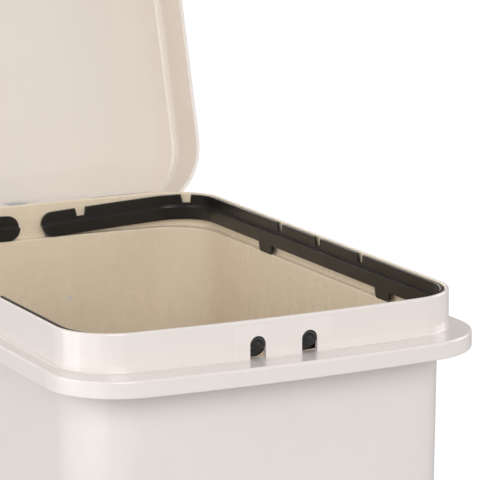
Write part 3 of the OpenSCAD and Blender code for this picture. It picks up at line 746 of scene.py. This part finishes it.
def make_rear_cover():
    """Channel over the push rod, with a flange either side that follows the rear wall."""
    wide, flange, thick, gap, r = 26.0, 38.0, 2.5, 0.15, 4.0
    rear = cover_hi.y

    def section(z):
        foot = [(flange, gap), (flange, gap + thick), (wide + 1.5, gap + thick)]
        right = [(x, wall_y(x, z, grow)) for x, grow in foot]
        right.append((wide, wall_y(wide, z, gap + thick + 1.5)))
        for i in range(7):
            a = math.radians(15 * i)
            right.append((wide - r + r * math.cos(a), rear - r + r * math.sin(a)))
        inner = []
        for i in range(7):
            a = math.radians(90 - 15 * i)
            inner.append((wide - r + (r - thick) * math.cos(a), rear - r + (r - thick) * math.sin(a)))
        inner.append((wide - thick, wall_y(wide - thick, z, gap)))
        left_outer = [(-x, y) for x, y in right[::-1]]
        left_inner = [(-x, y) for x, y in inner[::-1]]
        return [(x, y, z) for x, y in right + left_outer + left_inner + inner]

    levels = [cover_lo.z + (cover_hi.z - cover_lo.z) * i / 6 for i in range(7)]
    cover = loft("rod_channel", [section(z) for z in levels])
    for side in (-1, 1):
        for z in RIVET_LEVELS:
            cut(cover, rod("cutter", "y", SCREW_HOLE_R, side * RIVET_X, z, MOUTH_Y / 2, MOUTH_Y + 10, 20))
    bevel(cover, 0.5, 50, 2)
    apply_modifiers(cover)
    smooth(cover)
    finish_piece(paint(cover, cream), "body", ["rear_cover"])


# ------------------------------------------------------------------ pedal
LEVER_PIVOT = (0, 60.0, 30.0)
LEVER_REST = 2.5763


def make_pedal():
    # The shoe is made with the lever level, then turned to the lever's rest
    half = cad_box("pedal_shoe")[1].x
    front, rear = -290.01, -228.01
    middle_z = LEVER_PIVOT[2]
    low, high = middle_z - 9.0, middle_z + 9.0
    low_r, high_r, corner_r = 3, 4, 12

    def ring(grow, z):
        edge = rounded_outline(half + grow, front - grow, rear + grow, corner_r + grow)
        return [(x, y, z) for x, y in edge]

    profile = [(-low_r - 0.2, low)]
    for angle in range(0, 91, 18):
        a = math.radians(angle)
        profile.append((-low_r + low_r * math.sin(a), low + low_r - low_r * math.cos(a)))
    for angle in range(0, 91, 15):
        a = math.radians(angle)
        profile.append((-high_r + high_r * math.cos(a), high - high_r + high_r * math.sin(a)))
    profile.append((-high_r - 0.3, high))
    shoe = loft("pedal_pad", [ring(grow, z) for grow, z in profile])
    lever_x, lever_half = 11.1, 6.1
    cut(shoe, block("cutter", (-lever_x, front + 5.9, middle_z - lever_half),
                    (lever_x, rear + 1, middle_z + lever_half)))
    screw_r, head_r = 2.2, 4.3
    for y in (rear - 14, rear - 40):
        cut(shoe, rod("cutter", "z", screw_r, 0, y, low - 1, low + 5, 24))
        cut(shoe, rod("cutter", "z", head_r, 0, y, low - 2, low + 1, 24))
    turn(shoe, LEVER_REST, LEVER_PIVOT)
    smooth(shoe)
    finish_piece(paint(shoe, black_matte), "pedal", ["pedal_shoe"])

    sheet = rounded_outline(half - 5, front + 5, rear - 5, 8)
    grip = prism("pedal_grip", sheet, "z", high + 0.02, high + 1.5)
    ribs = 9
    step = (rear - front - 16) / (ribs - 1)
    for i in range(ribs):
        y = front + 7 + i * step
        rib = prism("rib", rounded_outline(half - 13, y, y + 2, 0.9, 4), "z", high + 1.2, high + 2.8)
        join(grip, rib)
    bevel(grip, 0.35, 40, 2)
    apply_modifiers(grip)
    turn(grip, LEVER_REST, LEVER_PIVOT)
    smooth(grip)
    finish_piece(paint(grip, rubber), "pedal", ["pedal_tread"])


# ------------------------------------------------------------------ wheels
def lathe(name, profile, centre, steps=64):
    """Solid of revolution about X from a closed profile of (radius, x)."""
    rings = []
    for i in range(steps):
        a = 2 * math.pi * i / steps
        rings.append([(centre.x + x, centre.y + r * math.cos(a), centre.z + r * math.sin(a))
                      for r, x in profile])
    return loft(name, rings, closed=True)


def both_faces(half_profile):
    """Whole closed profile of (radius, x) from its half on the +X side, given from the bore outwards."""
    return [(r, -x) for r, x in half_profile] + half_profile[::-1]


def make_wheel(side_name):
    tyre_lo, tyre_hi = cad_box("tyre_" + side_name)
    centre = (tyre_lo + tyre_hi) / 2
    r = (tyre_hi.z - tyre_lo.z) / 2
    half = (tyre_hi.x - tyre_lo.x) / 2
    tyre_in = r - 4.0
    hub_out, hub_half, axle = tyre_in - 0.05, half - 1, 4.08
    recess_in, recess_out, web = 8.0, tyre_in - 4, half - 4
    hub = lathe("hub_" + side_name, both_faces([
        (axle, hub_half), (recess_in - 0.5, hub_half), (recess_in, hub_half - 0.5), (recess_in, web),
        (recess_out, web), (recess_out, hub_half - 0.5), (recess_out + 0.5, hub_half),
        (hub_out - 0.6, hub_half), (hub_out, hub_half - 0.6)]), centre)
    for i in range(6):
        rib = block("rib", (centre.x - hub_half + 0.4, centre.y - 0.9, centre.z + recess_in - 1),
                    (centre.x + hub_half - 0.4, centre.y + 0.9, centre.z + recess_out + 1))
        turn(rib, 60 * i + 15, centre)
        join(hub, rib)
    smooth(hub)
    finish_piece(paint(hub, black_matte), "wheel_" + side_name[0], ["wheel_" + side_name])
    shoulder = 1.8
    groove_x, groove_deep = 4.0, 0.6
    profile = [(tyre_in, half - 0.3), (tyre_in + 0.3, half), (r - shoulder, half)]
    for angle in (22, 45, 68):
        a = math.radians(angle)
        profile.append((r - shoulder + shoulder * math.sin(a), half - shoulder + shoulder * math.cos(a)))
    profile += [(r, half - shoulder), (r, groove_x + 0.8), (r - groove_deep, groove_x + 0.5),
                (r - groove_deep, groove_x - 0.5), (r, groove_x - 0.8)]
    tyre = lathe("tread_" + side_name, both_faces(profile), centre)
    smooth(tyre)
    finish_piece(paint(tyre, tyre_rubber), "wheel_" + side_name[0], ["tyre_" + side_name])


# ------------------------------------------------------------------ CAD pieces that stay
KEPT = {
    black_matte: ["base_plinth", "rod_guides", "rod_head", "rod_foot", "wheel_caps", "hinge_rod_caps"],
    cream: ["rear_cover_screws"],
    rubber: ["base_feet", "lid_stops", "lid_buffers"],
    steel: ["base_screws", "hinge_block_screws", "hinge_rod", "lid_crank", "lid_crank_screws", "crank_pin",
            "lever_axle", "lever_axle_clips", "pedal_screws", "lever_pin", "wheel_axles"],
    steel_rod: ["push_rod", "pedal_lever"],
}


def dress_kept_pieces():
    for material, names in KEPT.items():
        for name in names:
            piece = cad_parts[name]
            piece.data.materials.clear()
            piece.data.materials.append(material)
            weld = piece.modifiers.new("weld", "WELD")
            weld.merge_threshold = 0.001 * MM
            bevel(piece, 0.25, 40, 2)


# ------------------------------------------------------------------ floor, light and camera
FLOOR_R = 850.0


def make_floor():
    n = Nodes("pale_floor")
    cloud = n.ramp(n.noise(3.0, 3.0), 0.3, 0.7)
    n.set(Base_Color=n.mix(cloud, (0.93, 0.93, 0.93, 1.0), (0.91, 0.91, 0.91, 1.0)), Roughness=0.6)
    distance = n.add("ShaderNodeVectorMath", Vector=n.place)
    distance.operation = "LENGTH"
    n.set(Alpha=n.ramp(distance.outputs["Value"], 0.3, FLOOR_R * MM, 1.0, 0.0))
    bm = bmesh.new()
    bm.faces.new([bm.verts.new((x * MM, y * MM, 0.0)) for x, y in circle(FLOOR_R, steps=96)])
    floor = new_object("floor", bm)
    floor.data.materials.append(n.material)


def area_light(name, place, aim, width, height, power):
    data = bpy.data.lights.new(name, "AREA")
    data.shape = "RECTANGLE"
    data.size = width * MM
    data.size_y = height * MM
    data.energy = power
    lamp = bpy.data.objects.new(name, data)
    bpy.context.scene.collection.objects.link(lamp)
    lamp.location = Vector(place) * MM
    lamp.rotation_mode = "QUATERNION"
    lamp.rotation_quaternion = (Vector(aim) - Vector(place)).to_track_quat("-Z", "Y")
    lamp.visible_camera = False


def make_lights():
    # The camera sees a white surround, and the object is lit by a dimmer one
    lit, seen = 0.44, 1.05
    world = bpy.data.worlds.new("studio")
    world.use_nodes = True
    tree = world.node_tree
    background = tree.nodes["Background"]
    path = tree.nodes.new("ShaderNodeLightPath")
    amount = tree.nodes.new("ShaderNodeMapRange")
    amount.inputs["To Min"].default_value = lit
    amount.inputs["To Max"].default_value = seen
    tree.links.new(path.outputs["Is Camera Ray"], amount.inputs["Value"])
    tree.links.new(amount.outputs["Result"], background.inputs["Strength"])
    background.inputs["Color"].default_value = (1.0, 1.0, 1.0, 1.0)
    bpy.context.scene.world = world
    middle = (0, 0, 560)
    area_light("panel_corner", (-1640, -740, 700), middle, 1500, 1400, 4.5)
    area_light("panel_left", (-1900, 300, 900), middle, 1400, 1600, 15.5)
    area_light("panel_front", (-700, -2300, 1700), middle, 1400, 1400, 30.0)
    area_light("panel_front_right", (1300, -1900, 900), middle, 1300, 1400, 6.5)
    area_light("panel_right", (2100, -200, 1300), middle, 1400, 1600, 16.0)
    area_light("panel_back", (300, 2300, 1500), middle, 1500, 1400, 20.0)


CAMERA_TURN = 26.17
CAMERA_TILT = 11.72
CAMERA_ROLL = -0.47
CAMERA_PLACE = (-993.8, -2184.8, 1149.0)
LENS_MM = 244.7


def make_camera():
    az, el = math.radians(CAMERA_TURN), math.radians(CAMERA_TILT)
    back = Vector((-math.sin(az) * math.cos(el), -math.cos(az) * math.cos(el), math.sin(el)))
    right = Vector((math.cos(az), -math.sin(az), 0))
    up = back.cross(right)
    axes = Matrix((right, up, back)).transposed()
    roll = Matrix.Rotation(math.radians(CAMERA_ROLL), 3, "Z")
    data = bpy.data.cameras.new("camera")
    data.sensor_width = 36.0
    data.lens = LENS_MM
    data.clip_start = 0.05
    data.clip_end = 50.0
    camera = bpy.data.objects.new("camera", data)
    bpy.context.scene.collection.objects.link(camera)
    camera.matrix_world = Matrix.Translation(Vector(CAMERA_PLACE) * MM) @ (axes @ roll).to_4x4()
    bpy.context.scene.camera = camera


make_body()
make_lid()
make_bands()
make_hinge_block()
make_rear_cover()
make_pedal()
for side_name in ("left", "right"):
    make_wheel(side_name)
dress_kept_pieces()
make_floor()
make_lights()
make_camera()
bpy.context.scene.view_settings.view_transform = "Standard"
